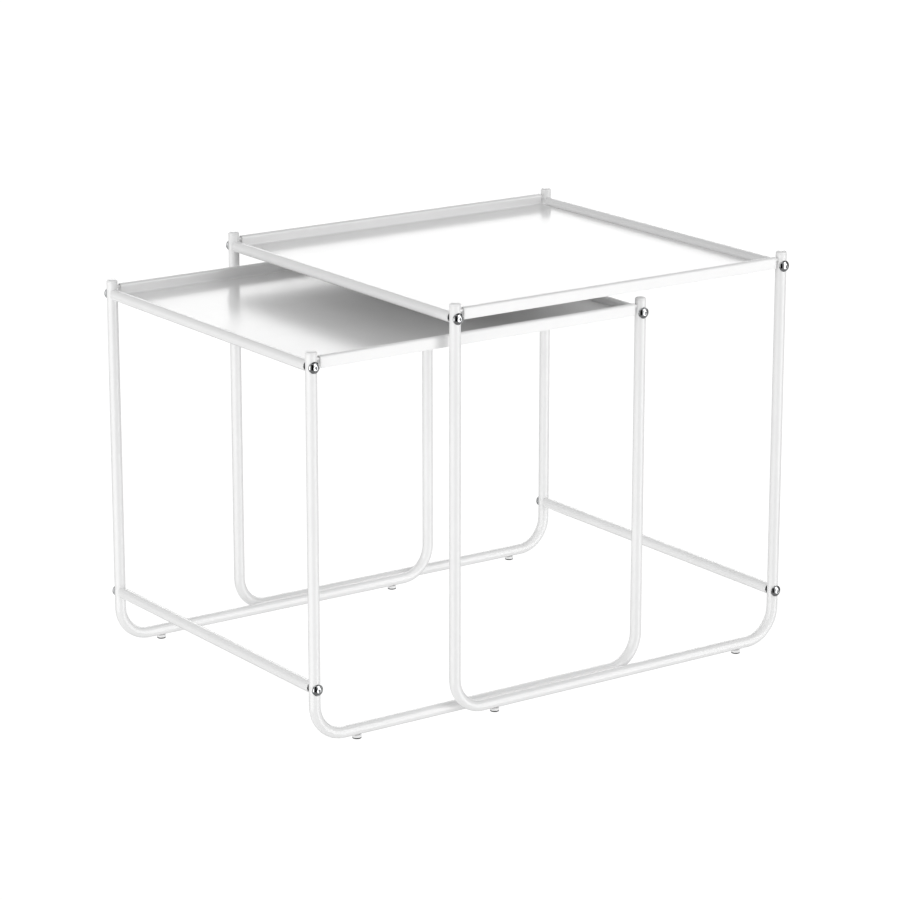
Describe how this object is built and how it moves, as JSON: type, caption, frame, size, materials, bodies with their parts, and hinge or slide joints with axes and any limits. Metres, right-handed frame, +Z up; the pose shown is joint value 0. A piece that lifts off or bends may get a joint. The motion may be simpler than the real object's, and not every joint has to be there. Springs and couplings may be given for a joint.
{
  "type": "nesting tables",
  "caption": "Pair of square tray tables in bent tube and folded sheet metal; the lower one slides in under the taller one and nests between its frames.",
  "frame": {"origin": "on the floor, in the middle of the pair's bounding box, with the small table pulled part way out", "axes": "+Z up; +X along the frames, from the small table's outer end to the large table's closed end; +Y from the front frames to the back frames"},
  "size_m": [0.6524, 0.476, 0.4813],
  "materials": {
    "frame_paint": "satin white powder coat",
    "tray_paint": "semi-gloss white powder coat",
    "chrome": "polished chrome plate",
    "zinc": "dull zinc plate",
    "cap_plastic": "satin moulded white plastic",
    "foot_plastic": "translucent off-white plastic glide"
  },
  "bodies": {
    "large_table": {"large_frame_front": "frame_paint", "large_rod_front": "frame_paint", "large_cap_front_left": "cap_plastic", "large_foot_front_left": "foot_plastic", "large_cap_front_right": "cap_plastic", "large_foot_front_right": "foot_plastic", "large_frame_back": "frame_paint", "large_rod_back": "frame_paint", "large_cap_back_left": "cap_plastic", "large_foot_back_left": "foot_plastic", "large_cap_back_right": "cap_plastic", "large_foot_back_right": "foot_plastic", "large_bar_left": "frame_paint", "large_bar_left_bolt_front": "chrome", "large_bar_left_insert_front": "zinc", "large_bar_left_bolt_back": "chrome", "large_bar_left_insert_back": "zinc", "large_bar_right": "frame_paint", "large_bar_right_bolt_front": "chrome", "large_bar_right_insert_front": "zinc", "large_bar_right_bolt_back": "chrome", "large_bar_right_insert_back": "zinc", "large_stretcher": "frame_paint", "large_stretcher_bolt_front": "chrome", "large_stretcher_insert_front": "zinc", "large_stretcher_bolt_back": "chrome", "large_stretcher_insert_back": "zinc", "large_tray": "tray_paint"},
    "small_table": {"small_frame_front": "frame_paint", "small_rod_front": "frame_paint", "small_cap_front_left": "cap_plastic", "small_foot_front_left": "foot_plastic", "small_cap_front_right": "cap_plastic", "small_foot_front_right": "foot_plastic", "small_frame_back": "frame_paint", "small_rod_back": "frame_paint", "small_cap_back_left": "cap_plastic", "small_foot_back_left": "foot_plastic", "small_cap_back_right": "cap_plastic", "small_foot_back_right": "foot_plastic", "small_bar_left": "frame_paint", "small_bar_left_bolt_front": "chrome", "small_bar_left_insert_front": "zinc", "small_bar_left_bolt_back": "chrome", "small_bar_left_insert_back": "zinc", "small_bar_right": "frame_paint", "small_bar_right_bolt_front": "chrome", "small_bar_right_insert_front": "zinc", "small_bar_right_bolt_back": "chrome", "small_bar_right_insert_back": "zinc", "small_stretcher": "frame_paint", "small_stretcher_bolt_front": "chrome", "small_stretcher_insert_front": "zinc", "small_stretcher_bolt_back": "chrome", "small_stretcher_insert_back": "zinc", "small_tray": "tray_paint"}
  },
  "joints": [
    {"name": "small_table_slide", "type": "slide", "parent": "large_table", "child": "small_table", "axis": [1, 0, 0], "range_m": [-0.25, 0.18]}
  ]
}
